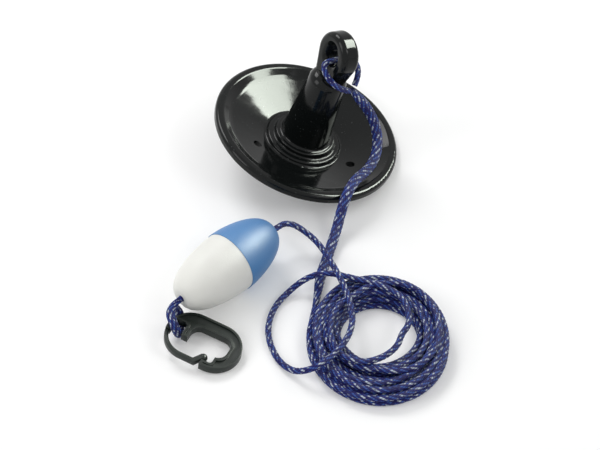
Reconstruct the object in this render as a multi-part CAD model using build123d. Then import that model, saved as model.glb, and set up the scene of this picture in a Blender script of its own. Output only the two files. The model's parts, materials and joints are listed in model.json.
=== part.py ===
"""Vinyl-dipped mushroom anchor with its rope, float and snap hook.

Millimetres, +Z up.  The anchor lies on the floor on the side of its shallow cone, so its shank
leans towards +X.  The origin is on the floor under the middle of the anchor.
"""
from build123d import *
from math import cos, pi, radians, sin, tan
import os

# ---- anchor: sizes round and along the shank's axis, whose zero is the plane of the rim ------
RIM_DIAMETER = 216.0
DISH_SLOPE = 17.0          # slope of the cone, which is also how far the anchor leans
RIM_HEIGHT = 10.0          # upright band round the rim
DISH_WALL = 9.0            # iron with the vinyl on both its faces
TIP_RADIUS = 4.0           # flat middle of the underside, too small for the anchor to stand on
COAT = 1.6                 # thickness of the dipped vinyl
BOSS_RADIUS = 43.0
BOSS_TOP = -15.0
COLLAR_RADIUS = 35.0
COLLAR_TOP = -9.0
FOOT_RADIUS = 28.5         # shank where it leaves the collar
NECK_RADIUS = 20.5         # shank where it runs into the eye
NECK_HEIGHT = 84.0
EYE_CENTRE = 113.0
EYE_RADIUS = 25.5
EYE_THICKNESS = 22.0
EYE_HOLE_WIDTH = 18.0
EYE_HOLE_LENGTH = 25.0
EYE_ROUNDING = 6.0
NECK_WAIST = 0.7           # of the neck's radius: the eye plate's width where it meets the shank
NECK_SINK = 14.0           # how far the eye plate goes down into the shank
EYE_TURN = 60.0            # the hole's axis, turned from +Y towards +X about the shank
# roundings of the half section, from the tip round the rim and up to the neck
DISH_ROUNDINGS = (12.0, 3.0, 4.0, 4.0, 22.0, 3.0, 2.5, 2.5, 2.0, 3.5, 11.0)
DRAIN_DIAMETER = 10.0
DRAIN_CIRCLE = 62.0
DRAIN_ANGLES = (-28.0, -152.0, 90.0)

# ---- rope ------------------------------------------------------------------------------------
ROPE = 6.35
LEAD = 11.0                # rope with its own tail tucked inside it, below the anchor's splice
SPLICE = 9.0               # rope of the hook's eye, with its tail tucked inside it

# ---- coil ------------------------------------------------------------------------------------
COIL_CENTRE = (73.0, -283.0)
COIL_RADII = (76.0, 85.0)    # along X and along Y
COIL_HOLE_RADIUS = 39.0
COIL_HOLE_SHIFT = (0.0, 7.0)
COIL_HEIGHT = 20.5
COIL_ROUNDING = 7.0

# ---- float, along its own axis from its middle, the blue half on the plus side ----------------
FLOAT_CENTRE = (-83.8, -202.9)
FLOAT_TURN = 46.8          # its long axis, from +X towards +Y
FLOAT_LENGTH = 132.0
FLOAT_RADIUS = 34.5
FLOAT_SEAM = 4.0
FLOAT_STEP = 0.8           # how much the white half is smaller at the seam
FLOAT_WALL = 2.5
FLOAT_END_RADIUS = 9.0     # small flat at each end
FLOAT_SHOULDER = 0.85      # how far the half runs on level from the seam before it turns in
FLOAT_BLUNTNESS = 0.8      # how square the end is
FLOAT_LAP = 5.0            # spigot of the white half inside the blue half
TUBE_RADIUS = 6.4
BORE_RADIUS = 3.9
FLOAT_REST = 0.3           # air between the float and the floor

# ---- hook, in its own plane: u along it, v across it, w through it -----------------------------
HOOK_CENTRE = (-106.0, -287.0)
HOOK_TURN = -25.0
HOOK_TILT = 8.0            # its eye end is lifted by the rope under it
HOOK_LENGTH = 83.0
HOOK_WIDTH = 56.0
HOOK_MIDDLE = -2.0
HOOK_THICKNESS = 9.0
HOOK_RECESS = 2.2          # depth of the panel inside the raised edge, on both faces
HOOK_EDGE = 2.6            # width of that raised edge
POCKET = (-36.0, -22.8, 8.6)       # the rope's seat: from u, to u, top v
MOUTH = (-16.0, 28.5, -15.0, 11.5)  # the opening: from u, to u, from v, to v
MOUTH_EDGE = -7.0          # below this v the gate takes the body's place
NOSE = 9.0                 # u of the nose's tip
NOSE_TOP = -23.6
MOUTH_ROUNDING = 10.0
POCKET_ROUNDING = 4.0
POCKET_DEPTH = 30.0        # more than reaches the edge of the body, which opens the seat
NOTCH_REACH = 11.0         # the bead's notch goes this far past the nose
NOTCH_WIDTH = 16.0
NOTCH_ROUNDING = 3.0
GATE_WIDTH = 4.4
GATE_THICKNESS = 6.0
GATE_ROOT_GAP = 0.9
BEAD_RADIUS = 4.4
BEAD_PLACE = (9.0, -18.6)

os.makedirs("parts", exist_ok=True)


# ---- anchor ----------------------------------------------------------------------------------
def rim_height():
    """Height of the rim's middle over the floor, with the cone's side lying on it."""
    depth = RIM_HEIGHT + RIM_DIAMETER / 2 * tan(radians(DISH_SLOPE))
    return depth * cos(radians(DISH_SLOPE))


def lay_down(shape):
    """Lean the upright anchor towards +X until its cone lies on the floor."""
    return Pos(0, 0, rim_height()) * Rot(0, DISH_SLOPE, 0) * shape


def dish_outline():
    """Half section of the dish, boss, collar and shank, coat included, on the XZ plane."""
    rim = RIM_DIAMETER / 2
    slope = tan(radians(DISH_SLOPE))
    lip = DISH_WALL
    under = -RIM_HEIGHT
    tip = under - (rim - TIP_RADIUS) * slope
    inner_rim = rim - lip
    wall = DISH_WALL / cos(radians(DISH_SLOPE))
    inner_foot = inner_rim - RIM_HEIGHT
    floor_rim = under - (rim - inner_foot) * slope + wall
    floor_boss = under - (rim - BOSS_RADIUS) * slope + wall
    points = [
        (0, tip), (TIP_RADIUS, tip), (rim, under), (rim, 0), (inner_rim, 0),
        (inner_foot, floor_rim), (BOSS_RADIUS, floor_boss), (BOSS_RADIUS, BOSS_TOP),
        (COLLAR_RADIUS, BOSS_TOP), (COLLAR_RADIUS, COLLAR_TOP), (FOOT_RADIUS, COLLAR_TOP),
        (NECK_RADIUS, NECK_HEIGHT), (0, NECK_HEIGHT),
    ]
    side = FilletPolyline(*points, radius=DISH_ROUNDINGS)
    return make_face(Plane.XZ * (side + Line(points[-1], points[0])))


def eye_plate(inset):
    """The eye above the shank, shrunk by inset on every face, with its rounded edges."""
    radius = EYE_RADIUS - inset
    half_neck = NECK_RADIUS * NECK_WAIST - inset
    foot = NECK_HEIGHT - NECK_SINK
    ring = Pos(0, EYE_CENTRE) * Circle(radius)
    neck = Line((-half_neck, foot), (half_neck, foot))
    outline = make_hull([*ring.edges(), neck])
    hole = Pos(0, EYE_CENTRE) * Rot(0, 0, 90) * SlotOverall(EYE_HOLE_LENGTH + 2 * inset,
                                                            EYE_HOLE_WIDTH + 2 * inset)
    half = EYE_THICKNESS / 2 - inset
    plate = extrude(Plane.XZ * (outline - hole), amount=half, both=True)
    rounded = [edge for edge in plate.edges()
               if abs(abs(edge.center().Y) - half) < 0.01 and edge.center().Z > foot + 1]
    return Rot(0, 0, -EYE_TURN) * fillet(rounded, EYE_ROUNDING - inset)


def anchor_solid(inset):
    """The whole anchor, shrunk by inset on every face."""
    outline = dish_outline()
    if inset:
        outline = offset(outline, amount=-inset)
        outline &= Plane.XZ * Pos(250, 0) * Rectangle(500, 900)
    body = revolve(outline, Axis.Z) + eye_plate(inset)
    for angle in DRAIN_ANGLES:
        drain = Rot(0, 0, angle) * Pos(DRAIN_CIRCLE, 0) * Cylinder(DRAIN_DIAMETER / 2 + inset, 200)
        body -= drain
    return body


def anchor():
    iron = anchor_solid(COAT)
    skin = anchor_solid(0) - iron
    skin = lay_down(skin)
    middle = skin.bounding_box().center().X
    return Pos(-middle, 0, 0) * lay_down(iron), Pos(-middle, 0, 0) * skin


# ---- rope ------------------------------------------------------------------------------------
EYE_LOOP = [   # round the anchor's eye, from the splice back to the splice
    (46.4, -20, 113.8), (36.5, -28.5, 122.8), (22, -22.5, 134), (17, -9.5, 144.5),
    (32.5, 0, 141.4), (46, 8, 138.5), (56, 4, 131), (56.5, -6, 121.8), (52.2, -12.2, 114.6),
]
LEAD_ROUTE = [  # from the eye splice, down into the dish, over the rim and along the floor
    (49.5, -14.5, 110), (59, -11, 94), (69, -8, 75), (77, -8, 55), (81, -15, 37), (79, -29, 26),
    (72, -46, 24), (63, -64, 30), (54, -82, 39), (45, -99, 37), (38, -114, 24), (33, -130, 11),
    (27, -149, 5.8), (20, -172, 5.7), (12, -195, 5.8), (5, -217, 5.7), (2, -238, 5.8),
]
RUN_ROUTE = [   # from the top of the coil, round the loose loop, over the coil and to the float
    (36, -209, 23.9), (21, -205, 23), (6, -206, 20), (-8, -210, 13), (-20, -217, 5.2),
    (-31, -230, 3.3), (-38, -247, 3.4), (-41, -268, 3.3), (-37, -290, 3.4), (-28, -309, 3.3),
    (-15, -323, 6.5), (-2, -331, 17), (12, -330, 24.5), (25, -318, 25), (37, -302, 24.6),
    (45, -283, 23.8), (47, -261, 24), (42, -236, 24.8), (34, -212, 25), (26, -190, 22.5),
    (18, -170, 19.5), (9, -155, 20), (-5, -145, 26), (-18, -142, 33),
]
HOOK_LOOP = [   # round the hook's spine, from the float's end back to the float's end
    (-131.9, -254.1, 34.8), (-137.8, -260, 34), (-140.2, -268, 31.2), (-136, -277.4, 26.2),
    (-133, -278.8, 14), (-131.9, -274.2, 4.9), (-131.6, -263, 4.6), (-132, -252.6, 6.4),
    (-132.6, -251.8, 14.5), (-133.6, -254.8, 24.4),
]
FLOAT_RUN = (76.0, -69.6)   # from and to, along the float's axis: the rope runs straight there
BEND_SHARE = 0.45          # of the shorter run, which an arc takes on each side of its point


def float_axis_point(along):
    """A point of the float's axis, where the rope lies inside its bore."""
    turn = radians(FLOAT_TURN)
    x, y = FLOAT_CENTRE
    return x + along * cos(turn), y + along * sin(turn), FLOAT_RADIUS + FLOAT_REST


def bend_radii(points):
    """Largest even arcs: at each point, the shorter run's share over the tangent of half the turn."""
    radii = []
    for before, here, after in zip(points, points[1:], points[2:]):
        first, second = Vector(here) - Vector(before), Vector(after) - Vector(here)
        turn = radians(first.get_angle(second))
        radii.append(BEND_SHARE * min(first.length, second.length) / tan(turn / 2))
    return radii


def rope_tube(name, points, diameter):
    """A plain tube of straight runs joined by tangent arcs."""
    radii = bend_radii(points)
    path = FilletPolyline(*points, radius=radii)
    section = Plane(origin=path @ 0, z_dir=path % 0) * Circle(diameter / 2)
    tube = sweep(section, path=path)
    wanted = pi * diameter ** 2 / 4 * path.length
    print(f"{name}: {path.length:.0f} mm long, volume {tube.volume / wanted:.3f} of section x length,"
          f" radii {min(radii):.0f} to {max(radii):.0f} mm")
    return tube


def coil():
    """The outer shape of the wound rope: a low ring whose hole lies off its middle."""
    disc = Ellipse(*COIL_RADII) - Pos(*COIL_HOLE_SHIFT) * Circle(COIL_HOLE_RADIUS)
    ring = extrude(disc, amount=COIL_HEIGHT)
    ring = fillet(ring.edges().group_by(Axis.Z)[-1], COIL_ROUNDING)
    return Pos(*COIL_CENTRE, 0) * ring


# ---- float -----------------------------------------------------------------------------------
def place_float(shape):
    """Lay the float, drawn along +X, on its side on the floor."""
    return Pos(*FLOAT_CENTRE, FLOAT_RADIUS + FLOAT_REST) * Rot(0, 0, FLOAT_TURN) * shape


def egg_half(end, widest, wall_inset):
    """Half section of one half from the seam to its end, on the XY plane, shrunk by wall_inset."""
    reach = abs(end) - wall_inset
    side = 1 if end > 0 else -1
    top = widest - wall_inset
    tip = max(FLOAT_END_RADIUS - wall_inset, TUBE_RADIUS)
    seam = Vector(FLOAT_SEAM, top)
    last = Vector(side * reach, tip)
    shell = Spline(seam, last, tangents=[(side, 0), (side * 0.2, -1)], 
                   tangent_scalars=(FLOAT_SHOULDER, FLOAT_BLUNTNESS))
    edges = [shell, Line(last, (side * reach, 0)), Line((side * reach, 0), (FLOAT_SEAM, 0)),
             Line((FLOAT_SEAM, 0), seam)]
    return make_face(edges)


def float_half(end, widest):
    """One moulded half: a shell, its half of the middle tube and the rope's bore."""
    outside = revolve(egg_half(end, widest, 0), Axis.X)
    inside = revolve(egg_half(end, widest, FLOAT_WALL), Axis.X)
    tube = Rot(0, 90, 0) * Cylinder(TUBE_RADIUS, FLOAT_LENGTH)
    bore = Rot(0, 90, 0) * Cylinder(BORE_RADIUS, FLOAT_LENGTH + 2)
    return outside - (inside - tube) - bore


def floats():
    """Both halves: the white one has the spigot that the blue one's mouth goes over."""
    half_length = FLOAT_LENGTH / 2
    blue = float_half(half_length, FLOAT_RADIUS)
    white = float_half(-half_length, FLOAT_RADIUS - FLOAT_STEP)
    spigot_outer = FLOAT_RADIUS - FLOAT_WALL - FLOAT_STEP
    spigot = Cylinder(spigot_outer, 2 * FLOAT_LAP)
    root = Pos(0, 0, -FLOAT_LAP / 2) * Cylinder(spigot_outer + FLOAT_WALL / 3, FLOAT_LAP)
    hollow = Cylinder(spigot_outer - FLOAT_WALL, 2 * FLOAT_LAP)
    white += Pos(FLOAT_SEAM, 0, 0) * Rot(0, 90, 0) * (spigot + root - hollow)
    return place_float(blue), place_float(white)


# ---- hook ------------------------------------------------------------------------------------
def place_hook(shape):
    """Put the hook, drawn in its own plane, on the floor with its eye end raised."""
    raised = HOOK_LENGTH / 2 * sin(radians(HOOK_TILT))
    return Pos(*HOOK_CENTRE, raised) * Rot(0, 0, HOOK_TURN) * Rot(0, HOOK_TILT, 0) * shape


def hook_outline(edge):
    """The body's flat outline, shrunk by edge: the oval less all that is cut out of it."""
    oval = Pos(0, HOOK_MIDDLE) * SlotOverall(HOOK_LENGTH - 2 * edge, HOOK_WIDTH - 2 * edge)
    left, right, low, high = MOUTH
    opening = Pos((left + right) / 2, (low + high) / 2) * RectangleRounded(
        right - left + 2 * edge, high - low + 2 * edge, MOUTH_ROUNDING)
    seat_left, seat_right, seat_top = POCKET
    seat = Pos((seat_left + seat_right) / 2, seat_top + edge - POCKET_DEPTH / 2) * RectangleRounded(
        seat_right - seat_left + 2 * edge, POCKET_DEPTH, POCKET_ROUNDING)
    way = Pos((NOSE + edge - HOOK_LENGTH) / 2, MOUTH_EDGE + edge - HOOK_WIDTH / 2) * Rectangle(
        HOOK_LENGTH + NOSE + edge, HOOK_WIDTH)
    notch_middle = NOSE + NOTCH_REACH - NOTCH_WIDTH / 2 + edge
    notch = Pos(notch_middle, (NOSE_TOP - edge) / 2) * RectangleRounded(
        NOTCH_WIDTH, -NOSE_TOP + edge, NOTCH_ROUNDING)
    return oval - opening - seat - way - notch


def hook_body():
    """Flat body with a raised edge all round, on both faces, and a thinner panel inside it."""
    body = extrude(hook_outline(0), amount=HOOK_THICKNESS)
    cut = extrude(hook_outline(HOOK_EDGE), amount=HOOK_RECESS)
    return body - cut - Pos(0, 0, HOOK_THICKNESS - HOOK_RECESS) * cut


def hook_gate():
    """The thin springy strip that closes the opening, with its round root and its end bead."""
    outer = HOOK_WIDTH / 2
    low = HOOK_MIDDLE - outer
    band = Pos(0, HOOK_MIDDLE) * (SlotOverall(HOOK_LENGTH, HOOK_WIDTH)
                                  - SlotOverall(HOOK_LENGTH - 2 * GATE_WIDTH, HOOK_WIDTH - 2 * GATE_WIDTH))
    top = MOUTH_EDGE - GATE_ROOT_GAP
    right = NOSE - GATE_ROOT_GAP - GATE_WIDTH
    keep = Pos((right - HOOK_LENGTH) / 2, top - HOOK_WIDTH / 2) * Rectangle(HOOK_LENGTH + right, HOOK_WIDTH)
    bead_u, bead_v = BEAD_PLACE
    bridge = Polyline((right - 3, low), (right, low), (bead_u + 1.5, bead_v), (bead_u - 3, bead_v + 2),
                      (right - 3.5, low + GATE_WIDTH), close=True)
    strip = extrude(band & keep, amount=GATE_THICKNESS) + extrude(make_face(bridge), amount=GATE_THICKNESS)
    bead = Pos(bead_u, bead_v, GATE_THICKNESS / 2) * Sphere(BEAD_RADIUS)
    return Pos(0, 0, (HOOK_THICKNESS - GATE_THICKNESS) / 2) * (strip + bead)


if __name__ == "__main__":
    iron_casting, vinyl_coating = anchor()
    float_blue_half, float_white_half = floats()
    run_route = RUN_ROUTE + [float_axis_point(along) for along in FLOAT_RUN]
    nodes = {
        "iron_casting": iron_casting,
        "vinyl_coating": vinyl_coating,
        "rope_eye_splice": rope_tube("rope_eye_splice", EYE_LOOP, ROPE),
        "rope_lead": rope_tube("rope_lead", LEAD_ROUTE, LEAD),
        "rope_coil": coil(),
        "rope_run": rope_tube("rope_run", run_route, ROPE),
        "rope_hook_splice": rope_tube("rope_hook_splice", HOOK_LOOP, SPLICE),
        "float_blue_half": float_blue_half,
        "float_white_half": float_white_half,
        "hook_body": place_hook(hook_body()),
        "hook_gate": place_hook(hook_gate()),
    }
    for name, solid in nodes.items():
        export_step(solid, f"parts/{name}.step")
        box = solid.bounding_box()
        print(name, len(solid.solids()), solid.is_valid, round(solid.volume), box.min, box.max)
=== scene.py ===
# %% [markdown]
# # A boat's mushroom anchor, ready to drop
#
# A small iron mushroom anchor dipped in black vinyl, with one blue braided rope that carries an
# egg-shaped float and ends in a moulded snap hook.  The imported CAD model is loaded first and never
# moves: it tells us where everything is, in metres, and which body each part rides on.  Hard parts
# whose CAD shape is right are kept and given a finish.  The rope is made here, because a CAD tube
# has no braid and a CAD ring has no turns.
# %% Load the frame
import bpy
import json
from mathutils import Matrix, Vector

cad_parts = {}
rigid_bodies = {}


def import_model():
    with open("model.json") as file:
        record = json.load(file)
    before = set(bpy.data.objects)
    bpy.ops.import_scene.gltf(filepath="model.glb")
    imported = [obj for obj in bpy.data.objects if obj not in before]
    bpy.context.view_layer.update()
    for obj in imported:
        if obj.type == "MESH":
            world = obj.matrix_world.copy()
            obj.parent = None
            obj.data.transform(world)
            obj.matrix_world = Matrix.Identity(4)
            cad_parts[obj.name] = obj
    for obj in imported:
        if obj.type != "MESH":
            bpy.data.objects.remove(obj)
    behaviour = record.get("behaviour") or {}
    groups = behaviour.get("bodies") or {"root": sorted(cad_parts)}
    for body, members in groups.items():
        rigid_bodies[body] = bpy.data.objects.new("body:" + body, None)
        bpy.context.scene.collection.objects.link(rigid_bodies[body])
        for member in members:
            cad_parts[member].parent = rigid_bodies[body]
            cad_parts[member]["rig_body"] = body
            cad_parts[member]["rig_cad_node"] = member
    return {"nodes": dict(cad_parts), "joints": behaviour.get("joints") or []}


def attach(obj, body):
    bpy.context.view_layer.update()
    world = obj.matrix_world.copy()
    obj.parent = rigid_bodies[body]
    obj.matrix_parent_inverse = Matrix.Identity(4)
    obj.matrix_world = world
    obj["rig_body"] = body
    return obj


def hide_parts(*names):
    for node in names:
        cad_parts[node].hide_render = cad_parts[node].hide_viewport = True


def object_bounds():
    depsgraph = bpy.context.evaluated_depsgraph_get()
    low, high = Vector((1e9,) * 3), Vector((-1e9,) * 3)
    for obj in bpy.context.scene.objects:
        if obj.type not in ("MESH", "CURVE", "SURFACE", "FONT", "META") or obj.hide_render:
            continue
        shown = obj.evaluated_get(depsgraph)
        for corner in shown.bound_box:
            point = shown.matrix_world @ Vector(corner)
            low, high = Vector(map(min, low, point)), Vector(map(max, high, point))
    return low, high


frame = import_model()
cad_bounds = [list(corner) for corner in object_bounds()]
print("frame:", sorted(frame["nodes"]))

# %% Tools used by every cell
import json
from math import cos, hypot, pi, radians, sin, tau

import bmesh
import bpy
from mathutils import Vector

ANCHOR, FLOAT, HOOK, GATE = "anchor", "float", "hook", "gate"
nodes = frame["nodes"]
bpy.ops.object.select_all(action="DESELECT")
low, high = (Vector(corner) for corner in cad_bounds)
middle = (low + high) / 2
print("object:", [round(1000 * side) for side in high - low], "mm")

# %% [markdown]
# ## Camera
#
# A catalogue view: a long lens, level across and looking down at the goods from well above.  The
# camera hangs on a line from a point on the floor near the object's middle, so the three numbers
# that matter are how far it is, how steeply it looks down, and its lens.
# %% Camera
AIM_FROM_MIDDLE = Vector((-0.0086, 0.016, 0))
LOOK_DOWN = radians(46.5)
CAMERA_DISTANCE = 1.658
LENS = 90.0

aim = Vector((middle.x, middle.y, 0)) + AIM_FROM_MIDDLE
camera_data = bpy.data.cameras.new("camera")
camera_data.lens = LENS
camera = bpy.data.objects.new("camera", camera_data)
bpy.context.scene.collection.objects.link(camera)
camera.location = aim + CAMERA_DISTANCE * Vector((0, -cos(LOOK_DOWN), sin(LOOK_DOWN)))
camera.rotation_euler = (pi / 2 - LOOK_DOWN, 0, 0)
bpy.context.scene.camera = camera
print("camera at", [round(value, 3) for value in camera.location])

# %% [markdown]
# ## Node groups
#
# Three effects come back in more than one finish, so each is built once.  *Grain* is the faint
# unevenness of anything moulded or dipped: a slow swell and a fine pebble.  *Braid* turns a rope's
# own UV map into plaited picks.  *Dust* is the pale bloom that settles on dark goods.
# %% Helpers that wire nodes
def new_group(name, inputs, outputs):
    """A node group with float or vector sockets, and its two end nodes."""
    group = bpy.data.node_groups.new(name, "ShaderNodeTree")
    for socket_name, kind, value in inputs:
        socket = group.interface.new_socket(socket_name, in_out="INPUT", socket_type=kind)
        if value is not None:
            socket.default_value = value
    for socket_name, kind in outputs:
        group.interface.new_socket(socket_name, in_out="OUTPUT", socket_type=kind)
    return group, group.nodes.new("NodeGroupInput"), group.nodes.new("NodeGroupOutput")


def sum_of(tree, kind, *values):
    """A math node of that kind, whose inputs are sockets or plain numbers."""
    node = tree.nodes.new("ShaderNodeMath")
    node.operation = kind
    for place, value in enumerate(values):
        if isinstance(value, (int, float)):
            node.inputs[place].default_value = value
        else:
            tree.links.new(value, node.inputs[place])
    return node.outputs[0]


def noise(tree, vector, scale, detail=2.0, roughness=0.5):
    """Noise of that scale, whose vector is a socket."""
    node = tree.nodes.new("ShaderNodeTexNoise")
    node.inputs["Detail"].default_value = detail
    node.inputs["Roughness"].default_value = roughness
    if isinstance(scale, (int, float)):
        node.inputs["Scale"].default_value = scale
    else:
        tree.links.new(scale, node.inputs["Scale"])
    tree.links.new(vector, node.inputs["Vector"])
    return node.outputs["Fac"]


FLOAT_SOCKET, VECTOR_SOCKET = "NodeSocketFloat", "NodeSocketVector"
print("node helpers ready")

# %% Grain and dust groups
grain_group, start, end = new_group(
    "Grain",
    [("Vector", VECTOR_SOCKET, None), ("Swell Scale", FLOAT_SOCKET, 20.0),
     ("Pebble Scale", FLOAT_SOCKET, 400.0), ("Pebble Share", FLOAT_SOCKET, 0.3)],
    [("Height", FLOAT_SOCKET), ("Mottle", FLOAT_SOCKET)])
swell = noise(grain_group, start.outputs["Vector"], start.outputs["Swell Scale"])
pebble = noise(grain_group, start.outputs["Vector"], start.outputs["Pebble Scale"], detail=1.0)
weighted = sum_of(grain_group, "MULTIPLY", pebble, start.outputs["Pebble Share"])
grain_group.links.new(sum_of(grain_group, "ADD", swell, weighted), end.inputs["Height"])
grain_group.links.new(swell, end.inputs["Mottle"])

dust_group, start, end = new_group(
    "Dust",
    [("Vector", VECTOR_SOCKET, None), ("Scale", FLOAT_SOCKET, 600.0), ("Rarity", FLOAT_SOCKET, 0.72)],
    [("Speck", FLOAT_SOCKET)])
fine = noise(dust_group, start.outputs["Vector"], start.outputs["Scale"], detail=0.0)
above = sum_of(dust_group, "SUBTRACT", fine, start.outputs["Rarity"])
sharp = sum_of(dust_group, "MULTIPLY", above, 18.0)
sharp.node.use_clamp = True
dust_group.links.new(sharp, end.inputs["Speck"])
print("groups:", grain_group.name, dust_group.name)

# %% [markdown]
# ## The braid
#
# The rope is a hollow braid: strands wind both ways round it and pass over and under each other,
# so the surface is a lattice of small diamonds, the picks.  The mesh that comes later puts a
# raised vertex in the middle of each pick.  This group finds the same picks from the UV map: u goes
# once round the rope, and v grows by as much for a ring as u does for a vertex, so the sum and the
# difference of the two count the strands of each hand.  A tracer is one strand in another colour,
# which shows at every second pick along its helix.
# %% Braid group
TRACER_EVERY = 4.0      # strands: it divides the number of strands of every rope below
braid_group, start, end = new_group(
    "Braid",
    [("UV", VECTOR_SOCKET, None), ("Strands", FLOAT_SOCKET, 8.0)],
    [("Light Tracer", FLOAT_SOCKET), ("White Tracer", FLOAT_SOCKET), ("Valley", FLOAT_SOCKET),
     ("Crown", FLOAT_SOCKET), ("Yarn", FLOAT_SOCKET)])
split = braid_group.nodes.new("ShaderNodeSeparateXYZ")
braid_group.links.new(start.outputs["UV"], split.inputs[0])
round_it, along_it = split.outputs["X"], split.outputs["Y"]
strands = start.outputs["Strands"]
right_hand = sum_of(braid_group, "MULTIPLY", sum_of(braid_group, "ADD", round_it, along_it), strands)
left_hand = sum_of(braid_group, "MULTIPLY", sum_of(braid_group, "SUBTRACT", round_it, along_it), strands)
right_cell = sum_of(braid_group, "ROUND", right_hand)
left_cell = sum_of(braid_group, "ROUND", left_hand)
right_off = sum_of(braid_group, "SUBTRACT", right_hand, right_cell)
left_off = sum_of(braid_group, "SUBTRACT", left_hand, left_cell)
cell_sum = sum_of(braid_group, "ADD", right_cell, left_cell)
right_on_top = sum_of(braid_group, "FLOORED_MODULO", cell_sum, 2.0)
right_strand = sum_of(braid_group, "FLOORED_MODULO", right_cell, TRACER_EVERY)
left_strand = sum_of(braid_group, "FLOORED_MODULO", left_cell, TRACER_EVERY)


def shown_strand(right_number, left_number):
    """1 on the picks where that strand out of every few, of either hand, lies on top."""
    right = sum_of(braid_group, "COMPARE", right_strand, float(right_number), 0.5)
    left = sum_of(braid_group, "COMPARE", left_strand, float(left_number), 0.5)
    right_shown = sum_of(braid_group, "MULTIPLY", right, right_on_top)
    left_shown = sum_of(braid_group, "MULTIPLY", left, sum_of(braid_group, "SUBTRACT", 1.0, right_on_top))
    return sum_of(braid_group, "MAXIMUM", right_shown, left_shown)


edge = sum_of(braid_group, "MAXIMUM", sum_of(braid_group, "ABSOLUTE", right_off),
              sum_of(braid_group, "ABSOLUTE", left_off))
# where the valleys between the picks lie; the rope finish paints shade into them
valley = sum_of(braid_group, "MULTIPLY", sum_of(braid_group, "SUBTRACT", edge, 0.3), 5.0)
valley.node.use_clamp = True
crown = sum_of(braid_group, "SUBTRACT", 1.0, sum_of(braid_group, "MULTIPLY", edge, 1.6))
across_right = sum_of(braid_group, "MULTIPLY", left_off, right_on_top)
across_left = sum_of(braid_group, "MULTIPLY", right_off, sum_of(braid_group, "SUBTRACT", 1.0, right_on_top))
across = sum_of(braid_group, "ADD", across_right, across_left)
yarn = sum_of(braid_group, "SINE", sum_of(braid_group, "MULTIPLY", across, 5 * tau))
for socket_name, value in (("Light Tracer", shown_strand(2, 1)), ("White Tracer", shown_strand(0, 3)),
                           ("Valley", valley), ("Crown", crown), ("Yarn", yarn)):
    braid_group.links.new(value, end.inputs[socket_name])
print("braid group has", len(braid_group.nodes), "nodes")


# %% [markdown]
# ## Finishes
#
# Every finish starts from the same small recipe, a Principled shader with Object coordinates and a
# Bump node.  What makes them differ is the roughness, the depth of the grain and how the colour
# wanders.  A value that is the same all over is set on the shader itself.
# %% Material helpers
def new_finish(name, **settings):
    """A material and the parts of it that the cells below go on with."""
    material = bpy.data.materials.new(name)
    material.use_nodes = True
    tree = material.node_tree
    shader = tree.nodes["Principled BSDF"]
    for socket_name, value in settings.items():
        shader.inputs[socket_name.replace("_", " ")].default_value = value
    coordinates = tree.nodes.new("ShaderNodeTexCoord")
    return material, tree, shader, coordinates


def add_group(tree, group, vector, **values):
    """A node group placed in a material with its own values."""
    node = tree.nodes.new("ShaderNodeGroup")
    node.node_tree = group
    tree.links.new(vector, node.inputs[0])
    for socket_name, value in values.items():
        node.inputs[socket_name.replace("_", " ")].default_value = value
    return node


def mix_colour(tree, mask, first, second):
    """A colour that goes from the first to the second with the mask."""
    node = tree.nodes.new("ShaderNodeMix")
    node.data_type = "RGBA"
    tree.links.new(mask, node.inputs["Factor"])
    for socket_name, value in (("A", first), ("B", second)):
        socket = next(s for s in node.inputs if s.name == socket_name and s.type == "RGBA")
        if isinstance(value, tuple):
            socket.default_value = (*value, 1.0)
        else:
            tree.links.new(value, socket)
    return next(s for s in node.outputs if s.type == "RGBA")


def map_roughness(tree, shader, value, lowest, highest):
    """Roughness that follows a value between two limits."""
    node = tree.nodes.new("ShaderNodeMapRange")
    node.inputs["To Min"].default_value = lowest
    node.inputs["To Max"].default_value = highest
    tree.links.new(value, node.inputs["Value"])
    tree.links.new(node.outputs["Result"], shader.inputs["Roughness"])


def add_bump(tree, shader, height, depth, strength=1.0):
    """A bump of that depth in metres."""
    node = tree.nodes.new("ShaderNodeBump")
    node.inputs["Distance"].default_value = depth
    node.inputs["Strength"].default_value = strength
    tree.links.new(height, node.inputs["Height"])
    tree.links.new(node.outputs["Normal"], shader.inputs["Normal"])


def paint(node_name, material):
    """Give a kept CAD node its finish."""
    piece = nodes[node_name]
    piece.data.materials.clear()
    piece.data.materials.append(material)


print("finish helpers ready")

# %% [markdown]
# ### Dipped vinyl and the iron under it
#
# The casting is dipped in liquid vinyl and hung up, so its skin is wet-looking and black, follows
# every edge softly, swells slowly where it ran and holds a few dust nibs.  The iron is out of
# sight, but it is a part of its own, with the skin of a sand casting.
# %% Vinyl and iron
vinyl, tree, shader, coordinates = new_finish(
    "black dipped vinyl", IOR=1.45, Specular_IOR_Level=0.22)
grain = add_group(tree, grain_group, coordinates.outputs["Object"],
                  Swell_Scale=26.0, Pebble_Scale=260.0, Pebble_Share=0.05)
dust = add_group(tree, dust_group, coordinates.outputs["Object"], Scale=520.0, Rarity=0.78)
dusty = mix_colour(tree, dust.outputs["Speck"], (0.004, 0.005, 0.005), (0.03, 0.034, 0.034))
tree.links.new(dusty, shader.inputs["Base Color"])
map_roughness(tree, shader, grain.outputs["Mottle"], 0.05, 0.14)
add_bump(tree, shader, grain.outputs["Height"], 0.0012, 0.35)
paint("vinyl_coating", vinyl)

iron, tree, shader, coordinates = new_finish("sand cast iron", Metallic=0.9)
grain = add_group(tree, grain_group, coordinates.outputs["Object"],
                  Swell_Scale=60.0, Pebble_Scale=700.0, Pebble_Share=0.6)
iron_colour = mix_colour(tree, grain.outputs["Mottle"], (0.07, 0.065, 0.06), (0.13, 0.12, 0.11))
tree.links.new(iron_colour, shader.inputs["Base Color"])
map_roughness(tree, shader, grain.outputs["Height"], 0.55, 0.85)
add_bump(tree, shader, grain.outputs["Height"], 0.0008)
paint("iron_casting", iron)
print("anchor finished")

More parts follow.
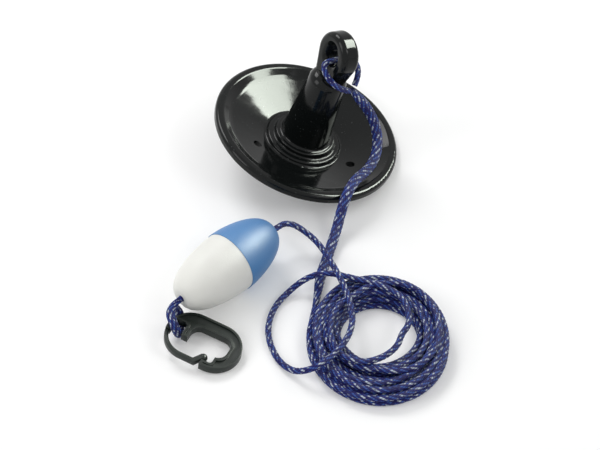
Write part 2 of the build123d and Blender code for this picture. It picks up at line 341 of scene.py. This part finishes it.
# %% [markdown]
# ### Float
#
# The two halves of the float are moulded in a soft matt plastic, blue and off-white, whose skin is
# finely pitted, so a highlight breaks up into specks.  The CAD halves already have the egg shape,
# the step at the seam and the rope's tube, so they stay.
# %% Float halves
def float_finish(name, pale, deep):
    """Pitted moulded plastic that wanders between two shades."""
    material, tree, shader, coordinates = new_finish(name, IOR=1.48)
    grain = add_group(tree, grain_group, coordinates.outputs["Object"],
                      Swell_Scale=35.0, Pebble_Scale=1100.0, Pebble_Share=0.55)
    tree.links.new(mix_colour(tree, grain.outputs["Mottle"], deep, pale), shader.inputs["Base Color"])
    map_roughness(tree, shader, grain.outputs["Height"], 0.3, 0.5)
    add_bump(tree, shader, grain.outputs["Height"], 0.0005, 0.8)
    return material


paint("float_blue_half", float_finish("blue float plastic", (0.075, 0.235, 0.50), (0.05, 0.185, 0.43)))
paint("float_white_half", float_finish("white float plastic", (0.80, 0.80, 0.76), (0.72, 0.72, 0.68)))
print("float finished")

# %% [markdown]
# ## Snap hook
#
# The hook is one piece of black nylon, with a thin gate that springs.  Its CAD solids have the
# right outline but dead-sharp edges, and a moulding has none: the small radius all round is what
# catches the light.  So each solid's mesh is copied, its loose triangles are merged, flat faces
# are made whole, and a bevel rounds every sharp edge.  The copies ride on the same bodies.
# %% Rounded copies of the hook's two parts
nylon, tree, shader, coordinates = new_finish("black nylon", IOR=1.5, Specular_IOR_Level=0.3)
grain = add_group(tree, grain_group, coordinates.outputs["Object"],
                  Swell_Scale=70.0, Pebble_Scale=1600.0, Pebble_Share=0.35)
nylon_colour = mix_colour(tree, grain.outputs["Mottle"], (0.007, 0.011, 0.009), (0.013, 0.019, 0.016))
tree.links.new(nylon_colour, shader.inputs["Base Color"])
map_roughness(tree, shader, grain.outputs["Mottle"], 0.28, 0.42)
add_bump(tree, shader, grain.outputs["Height"], 0.0002, 0.6)

MERGE = 2e-6
SHARP = radians(30)
FLAT = radians(1)


def rounded_copy(node_name, name, body, radius):
    """A moulded copy of a CAD node, with its sharp edges rounded."""
    bpy.ops.object.select_all(action="DESELECT")
    piece = nodes[node_name].copy()
    piece.data = nodes[node_name].data.copy()
    piece.name = name
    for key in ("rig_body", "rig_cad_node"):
        del piece[key]
    piece.parent = None
    bpy.context.scene.collection.objects.link(piece)
    bpy.context.view_layer.objects.active = piece
    piece.select_set(True)
    bpy.ops.object.mode_set(mode="EDIT")
    bpy.ops.mesh.select_all(action="SELECT")
    bpy.ops.mesh.remove_doubles(threshold=MERGE)
    bpy.ops.mesh.dissolve_limited(angle_limit=FLAT)
    bpy.ops.object.mode_set(mode="OBJECT")
    bevel = piece.modifiers.new("rounding", "BEVEL")
    bevel.limit_method = "ANGLE"
    bevel.angle_limit = SHARP
    bevel.width = radius
    bevel.segments = 3
    bevel.use_clamp_overlap = True
    bpy.ops.object.modifier_apply(modifier=bevel.name)
    bpy.ops.object.shade_smooth_by_angle(angle=SHARP)
    piece.data.materials.clear()
    piece.data.materials.append(nylon)
    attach(piece, body)
    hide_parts(node_name)
    print(name, "has", len(piece.data.polygons), "faces")
    return piece


moulded_hook = rounded_copy("hook_body", "snap_hook", HOOK, 0.0009)
moulded_gate = rounded_copy("hook_gate", "snap_hook_gate", GATE, 0.0009)

# %% [markdown]
# ## Rope
#
# A rope is a line first and a surface afterwards.  Its line is one smooth NURBS spline through a
# few chosen places; where it is wound, the places come from a loop.  The surface then follows
# points read back from that spline, ring after ring, and each ring's vertices step in and out by
# turns, which makes the picks of the braid in the mesh itself.
# %% The line of a rope
def rope_line(name, places):
    """Points along the smooth spline that has those places as its control points."""
    curve = bpy.data.curves.new(name, "CURVE")
    curve.dimensions = "3D"
    curve.resolution_u = 12
    spline = curve.splines.new("NURBS")
    spline.points.add(len(places) - 1)
    for point, place in zip(spline.points, places):
        point.co = (*place, 1.0)
    spline.order_u = 3
    spline.use_endpoint_u = True
    holder = bpy.data.objects.new(name, curve)
    bpy.context.scene.collection.objects.link(holder)
    bpy.context.view_layer.update()
    depsgraph = bpy.context.evaluated_depsgraph_get()
    mesh = bpy.data.meshes.new_from_object(holder.evaluated_get(depsgraph))
    points = [vertex.co.copy() for vertex in mesh.vertices]
    bpy.data.objects.remove(holder)
    bpy.data.meshes.remove(mesh)
    return points


def even_steps(points, step):
    """The same line with a point every step, and its length."""
    runs = [(b - a).length for a, b in zip(points, points[1:])]
    length = sum(runs)
    count = max(2, round(length / step))
    stations, place, passed = [], 0, 0.0
    for number in range(count + 1):
        wanted = length * number / count
        while place < len(runs) - 1 and passed + runs[place] < wanted:
            passed += runs[place]
            place += 1
        share = (wanted - passed) / runs[place] if runs[place] else 0.0
        stations.append(points[place].lerp(points[place + 1], min(1.0, share)))
    return stations, length


# %% [markdown]
# ### The braided surface
#
# Rings are carried along the line without twisting, so the strands run true.  The step between
# rings sets the length of a pick, the number of strands its width.  Both ends are closed.
# %% The skin of a rope
PICK_RELIEF = 0.06           # how far a pick stands proud, as a share of the radius


def taper_at(place, length, tapers):
    """Share of the full width at that place along a rope."""
    width = 1.0
    for reach, (taper, share) in zip((place, length - place), tapers):
        if reach < taper:
            ease = 0.5 - 0.5 * cos(pi * reach / taper)
            width = min(width, share + (1 - share) * ease)
    return width


def braided_rope(name, points, diameter, strands, step, material, tapers=((0.0, 1.0), (0.0, 1.0))):
    """A closed mesh tube along the points, whose vertices stand out and in by turns.

    Each end may taper: over so many metres from there, the rope grows from that share of its width."""
    stations, length = even_steps(points, step)
    count, sides = len(stations), 2 * strands
    tangents = [(stations[min(k + 1, count - 1)] - stations[max(k - 1, 0)]).normalized()
                for k in range(count)]
    side_way = tangents[0].orthogonal().normalized()
    vertices = []
    for ring, (centre, tangent) in enumerate(zip(stations, tangents)):
        side_way = (side_way - side_way.dot(tangent) * tangent).normalized()
        up_way = tangent.cross(side_way)
        width = taper_at(length * ring / (count - 1), length, tapers)
        for side in range(sides):
            turn = tau * side / sides
            relief = PICK_RELIEF if (ring + side) % 2 == 0 else -PICK_RELIEF
            reach = diameter / 2 * (1 + relief) * width
            vertices.append(centre + reach * (cos(turn) * side_way + sin(turn) * up_way))
    faces = [(ring * sides + side, ring * sides + (side + 1) % sides,
              (ring + 1) * sides + (side + 1) % sides, (ring + 1) * sides + side)
             for ring in range(count - 1) for side in range(sides)]
    faces.append(tuple(reversed(range(sides))))
    faces.append(tuple(range((count - 1) * sides, count * sides)))
    mesh = bpy.data.meshes.new(name)
    mesh.from_pydata(vertices, [], faces)
    layer = mesh.uv_layers.new(name="braid").data
    for face in mesh.polygons[:-2]:
        ring, side = divmod(face.index, sides)
        corners = ((side, ring), (side + 1, ring), (side + 1, ring + 1), (side, ring + 1))
        for loop, (across, along) in zip(face.loop_indices, corners):
            layer[loop].uv = (across / sides, along / sides)
    for face in mesh.polygons:
        face.use_smooth = True
    mesh.materials.append(material)
    piece = bpy.data.objects.new(name, mesh)
    bpy.context.scene.collection.objects.link(piece)
    print(f"{name}: {length * 1000:.0f} mm, {len(faces)} faces")
    return piece, stations, length


# %% [markdown]
# ### Rope finish
#
# Filament polypropylene: deep blue and a little shiny along its yarns, with painted shade that darkens
# the valleys between the picks, and one light blue and one white tracer in each hand.  The tracers fade
# in and out, as yarns that turn over do.
# %% Rope colours
DEEP_BLUE, MID_BLUE = (0.010, 0.009, 0.085), (0.030, 0.032, 0.27)
LIGHT_BLUE, NEAR_WHITE = (0.06, 0.13, 0.50), (0.62, 0.70, 0.84)
# painted shade: the near-black that the braid's valleys are darkened to in the colour
VALLEY_PAINTED_SHADE = (0.002, 0.002, 0.014)


def rope_finish(name, strands):
    """Blue braid with that many strands of each hand."""
    material, tree, shader, coordinates = new_finish(name, IOR=1.49, Specular_IOR_Level=0.18)
    braid = add_group(tree, braid_group, coordinates.outputs["UV"], Strands=float(strands))
    grain = add_group(tree, grain_group, coordinates.outputs["Object"],
                      Swell_Scale=160.0, Pebble_Scale=900.0, Pebble_Share=0.5)
    colour = mix_colour(tree, grain.outputs["Mottle"], DEEP_BLUE, MID_BLUE)
    fading = sum_of(tree, "MULTIPLY", sum_of(tree, "SUBTRACT", grain.outputs["Mottle"], 0.44), 9.0)
    fading.node.use_clamp = True
    light = sum_of(tree, "MULTIPLY", braid.outputs["Light Tracer"], 0.8)
    colour = mix_colour(tree, light, colour, LIGHT_BLUE)
    white = sum_of(tree, "MULTIPLY", braid.outputs["White Tracer"], fading)
    colour = mix_colour(tree, white, colour, NEAR_WHITE)
    # painted shade: the valleys between picks are mixed towards near-black in the base colour
    shade = sum_of(tree, "MULTIPLY", braid.outputs["Valley"], 0.9)
    colour = mix_colour(tree, shade, colour, VALLEY_PAINTED_SHADE)
    tree.links.new(colour, shader.inputs["Base Color"])
    map_roughness(tree, shader, braid.outputs["Crown"], 0.6, 0.38)
    yarn_height = sum_of(tree, "MULTIPLY", braid.outputs["Yarn"], 0.12)
    add_bump(tree, shader, sum_of(tree, "ADD", braid.outputs["Crown"], yarn_height), 0.0007)
    return material


THIN_STRANDS, SPLICE_STRANDS, LEAD_STRANDS = 8, 12, 12
thin_finish = rope_finish("blue braid", THIN_STRANDS)
splice_finish = rope_finish("blue braid doubled", SPLICE_STRANDS)
lead_finish = rope_finish("blue braid buried tail", LEAD_STRANDS)
print("rope finishes ready")


# %% [markdown]
# ### Eye splice and lead
#
# The rope goes through the anchor's eye and back into itself.  Below the splice its own tail lies
# inside it for the length of the dish, which makes that stretch nearly twice as thick.
# %% Eye splice and lead
ROPE, LEAD, SPLICE = 0.00635, 0.011, 0.009
PICK = {ROPE: 0.0023, LEAD: 0.0026, SPLICE: 0.0022}

EYE_LOOP = [   # round the anchor's eye, from the splice back to the splice
    (0.0464, -0.020, 0.1138), (0.0365, -0.0285, 0.1228), (0.022, -0.0225, 0.134),
    (0.017, -0.0095, 0.1445), (0.0325, 0, 0.1414), (0.046, 0.008, 0.1385), (0.056, 0.004, 0.131),
    (0.0565, -0.006, 0.1218), (0.0522, -0.0122, 0.1146),
]
LEAD_ROUTE = [  # from the eye splice, down into the dish, over the rim and along the floor
    (0.0495, -0.0145, 0.110), (0.059, -0.011, 0.094), (0.069, -0.008, 0.075), (0.077, -0.008, 0.055),
    (0.081, -0.015, 0.037), (0.079, -0.029, 0.026), (0.072, -0.046, 0.024), (0.063, -0.064, 0.030),
    (0.054, -0.082, 0.039), (0.045, -0.099, 0.037), (0.038, -0.114, 0.024), (0.033, -0.130, 0.011),
    (0.027, -0.149, 0.0058), (0.021, -0.172, 0.0057), (0.0145, -0.195, 0.0058),
    (0.0115, -0.217, 0.0056), (0.0085, -0.238, 0.0050),
]


def tie_rope(piece, hidden):
    """Everything the frame has to know about a rope."""
    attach(piece, ANCHOR)
    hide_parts(*hidden)


eye_splice, stations, length = braided_rope(
    "eye_splice", rope_line("eye_line", EYE_LOOP), ROPE, THIN_STRANDS, PICK[ROPE], thin_finish)
tie_rope(eye_splice, ["rope_eye_splice"])

lead, stations, length = braided_rope(
    "lead", rope_line("lead_line", LEAD_ROUTE), LEAD, LEAD_STRANDS, PICK[LEAD], lead_finish,
    tapers=((0.022, 0.62), (0.05, 0.58)))
tie_rope(lead, ["rope_lead"])

# %% [markdown]
# ### Coil, run and float
#
# From the end of the lead the thin rope winds sixteen times, anticlockwise: inwards along the
# floor, outwards over that, inwards again, and a last stray turn cuts across the hole.  A turn's
# place is a share from the hole's edge to the outer edge, so turns spread where the coil is wide.
# Each turn has its own slow sway, which is what makes a hand-thrown coil look loose.
# %% The winding
COIL_MIDDLE = (0.073, -0.283)
COIL_REACH = (0.0725, 0.0815)     # the outer turn's centreline, along x and y
HOLE_MIDDLE = (0.073, -0.276)
HOLE_REACH = 0.0425
FIRST_TURN_ANGLE = radians(148)
LAST_TURN_ANGLE = radians(116)
TURNS = 16
POINTS_A_TURN = 14
# share of the way outwards and height, at so many turns from the start
WINDING = [(0.0, 1.0, 0.0045), (0.3, 1.0, 0.0034), (5.0, 0.0, 0.0034), (5.4, 0.04, 0.009), (10.2, 1.0, 0.0094),
           (10.6, 0.97, 0.0152), (14.3, 0.1, 0.0158), (14.55, 0.6, 0.0205), (14.72, 0.8, 0.0215),
           (14.95, 0.2, 0.0215), (15.2, 0.25, 0.0215), (15.38, -0.1, 0.0205), (15.5, -0.5, 0.0195),
           (15.62, -0.35, 0.0205), (15.75, 0.1, 0.0225), (15.85, 0.7, 0.0232), (16.0, 1.0, 0.0238)]


def winding_at(turn):
    """Share outwards and height after that many turns."""
    for (t0, share0, z0), (t1, share1, z1) in zip(WINDING, WINDING[1:]):
        if turn <= t1:
            part = (turn - t0) / (t1 - t0)
            return share0 + part * (share1 - share0), z0 + part * (z1 - z0)
    return WINDING[-1][1:]


def coil_place(angle, share, height):
    """A point of the coil, from the hole's edge (0) to the outer edge (1)."""
    outer = Vector((COIL_MIDDLE[0] + COIL_REACH[0] * cos(angle), COIL_MIDDLE[1] + COIL_REACH[1] * sin(angle)))
    inner = Vector((HOLE_MIDDLE[0] + HOLE_REACH * cos(angle), HOLE_MIDDLE[1] + HOLE_REACH * sin(angle)))
    flat = inner.lerp(outer, share)
    return flat.x, flat.y, height


total_turns = TURNS - (FIRST_TURN_ANGLE - LAST_TURN_ANGLE) / tau
coil_points = []
for number in range(1, int(total_turns * POINTS_A_TURN)):
    turn = number / POINTS_A_TURN
    angle = FIRST_TURN_ANGLE + tau * turn
    share, height = winding_at(turn)
    looseness = 0.035 + 0.05 * max(0.0, turn - 10) / 5
    sway = looseness * sin(angle + 2.4 * int(turn)) + 0.6 * looseness * sin(2.3 * angle + 1.1)
    inside = min(1.0, max(0.0, share + sway)) if share >= 0 else share
    lift = 0.0007 * sin(3.1 * angle + turn) if 0.5 < turn < 15 else 0.0
    coil_points.append(coil_place(angle, inside, max(0.0033, height + lift)))
print(len(coil_points), "points in", round(total_turns, 2), "turns")

# %% [markdown]
# The rest of the rope is listed place by place: off the coil's back, round the big loose loop on the
# floor, back up over the coil and the lead, and straight through the float.  The float's own line
# is worked out from the joint it spins on.
# %% The main rope
RUN_ROUTE = [   # from the top of the coil, round the loose loop, over the coil and to the float
    (0.036, -0.209, 0.0239), (0.021, -0.205, 0.023), (0.006, -0.206, 0.020), (-0.008, -0.210, 0.013),
    (-0.020, -0.217, 0.0052), (-0.031, -0.230, 0.0033), (-0.038, -0.247, 0.0034),
    (-0.041, -0.268, 0.0033), (-0.037, -0.290, 0.0034), (-0.028, -0.309, 0.0033),
    (-0.015, -0.323, 0.0065), (-0.002, -0.331, 0.017), (0.012, -0.330, 0.0245),
    (0.025, -0.318, 0.025), (0.037, -0.302, 0.0246), (0.045, -0.283, 0.0238),
    (0.047, -0.261, 0.024), (0.042, -0.236, 0.0248), (0.034, -0.212, 0.025), (0.026, -0.190, 0.0225),
    (0.018, -0.170, 0.0195), (0.009, -0.155, 0.020), (-0.005, -0.145, 0.026), (-0.018, -0.142, 0.033),
]
FLOAT_RUN = (0.076, -0.0696)      # where the rope enters and leaves, along the float's line

spin = next(joint for joint in frame["joints"] if joint["name"] == "float_spin")
float_middle = Vector(spin["pos_m"])
float_way = Vector(spin["axis"]).normalized()
float_points = [tuple(float_middle + along * float_way) for along in FLOAT_RUN]
main_route = [LEAD_ROUTE[-1], *coil_points, *RUN_ROUTE, *float_points]
main_rope, stations, length = braided_rope(
    "main_rope", rope_line("main_line", main_route), ROPE, THIN_STRANDS, PICK[ROPE], thin_finish)
tie_rope(main_rope,
         ["rope_coil", "rope_run"])

# %% [markdown]
# ### Hook splice
#
# At its far end the rope makes a tight eye round the hook's spine and goes back into itself, so
# there it is thicker again.
# %% Hook splice
HOOK_LOOP = [   # round the hook's spine, from the float's end back to the float's end
    (-0.1319, -0.2541, 0.0348), (-0.1378, -0.260, 0.034), (-0.1402, -0.268, 0.0312),
    (-0.136, -0.2774, 0.0262), (-0.133, -0.2788, 0.014), (-0.1319, -0.2742, 0.0049),
    (-0.1316, -0.263, 0.0046), (-0.132, -0.2526, 0.0064), (-0.1326, -0.2518, 0.0145),
    (-0.1336, -0.2548, 0.0244),
]
hook_splice, stations, length = braided_rope(
    "hook_splice", rope_line("hook_line", HOOK_LOOP), SPLICE, SPLICE_STRANDS, PICK[SPLICE],
    splice_finish, tapers=((0.02, 0.7), (0.012, 0.7)))
tie_rope(hook_splice,
         ["rope_hook_splice"])

# %% [markdown]
# ## Floor and light
#
# The goods lie on a white table that runs out of sight.  To a camera, a mirror or glass the floor
# and the sky are plain white; to the light that falls on the goods they are a soft grey, so pale
# plastic doesn't burn out.  The floor still takes the object's shadow.  Two soft boxes light the
# goods, and the black vinyl shows them as pale patches.  A third one is only for the gloss: it gives
# the wet-looking vinyl its big greenish patch and adds nothing to the light on matt goods.
# %% Floor
FLOOR_SIZE = 8.0
FLOOR_DROP = 0.0002
bpy.ops.object.select_all(action="DESELECT")
bpy.ops.mesh.primitive_plane_add(size=FLOOR_SIZE, location=(middle.x, middle.y, low.z - FLOOR_DROP))
floor = bpy.context.active_object
floor.name = "floor"
white_floor, tree, shader, coordinates = new_finish(
    "white table", Base_Color=(0.86, 0.86, 0.86, 1), Roughness=0.9)
floor.data.materials.append(white_floor)
FLOOR_LIFT = 0.12


def seen_directly(tree):
    """1 for rays from the camera, from a mirror or through glass."""
    path = tree.nodes.new("ShaderNodeLightPath")
    seen = sum_of(tree, "ADD", path.outputs["Is Camera Ray"], path.outputs["Is Glossy Ray"])
    seen = sum_of(tree, "ADD", seen, path.outputs["Is Transmission Ray"])
    seen.node.use_clamp = True
    return seen


shader.inputs["Emission Color"].default_value = (1, 1, 1, 1)
lift = sum_of(tree, "MULTIPLY", seen_directly(tree), FLOOR_LIFT)
tree.links.new(lift, shader.inputs["Emission Strength"])
print("floor ready")

# %% World and lamps
WORLD_LEVEL = 0.55
world = bpy.data.worlds.new("studio")
bpy.context.scene.world = world
world.use_nodes = True
background = world.node_tree.nodes["Background"]
background.inputs["Color"].default_value = (1, 1, 1, 1)
seen = seen_directly(world.node_tree)
level = sum_of(world.node_tree, "MULTIPLY", seen, 1.0 - WORLD_LEVEL)
world.node_tree.links.new(sum_of(world.node_tree, "ADD", level, WORLD_LEVEL), background.inputs["Strength"])


def soft_box(name, place, target, width, height, power, colour):
    """A rectangular lamp at a place, turned towards a target."""
    lamp = bpy.data.lights.new(name, "AREA")
    lamp.shape = "RECTANGLE"
    lamp.size, lamp.size_y = width, height
    lamp.energy = power
    lamp.color = colour
    holder = bpy.data.objects.new(name, lamp)
    bpy.context.scene.collection.objects.link(holder)
    holder.location = place
    holder.rotation_euler = (Vector(target) - Vector(place)).to_track_quat("-Z", "Y").to_euler()
    return holder


GLINT_WAY = Vector((0.731, 0.295, 0.616))     # where the dish's far wall mirrors the camera's view
GLINT_DISTANCE = 1.6
dish = Vector((0, 0, 0.05))
glint = soft_box("soft_box_glint", dish + GLINT_DISTANCE * GLINT_WAY, dish, 0.95, 0.72, 85, (0.93, 1.0, 0.9))
glint.visible_diffuse = False
soft_box("soft_box_back", (-0.7, 0.9, 1.5), dish, 0.9, 0.7, 14, (1, 1, 1))
soft_box("soft_box_left", (-1.6, -0.6, 1.2), middle, 0.8, 1.2, 10, (1, 1, 1))
soft_box("soft_box_right", (1.5, -0.9, 1.6), middle, 0.8, 0.8, 8, (1, 1, 1))
bpy.context.scene.view_settings.view_transform = "Standard"
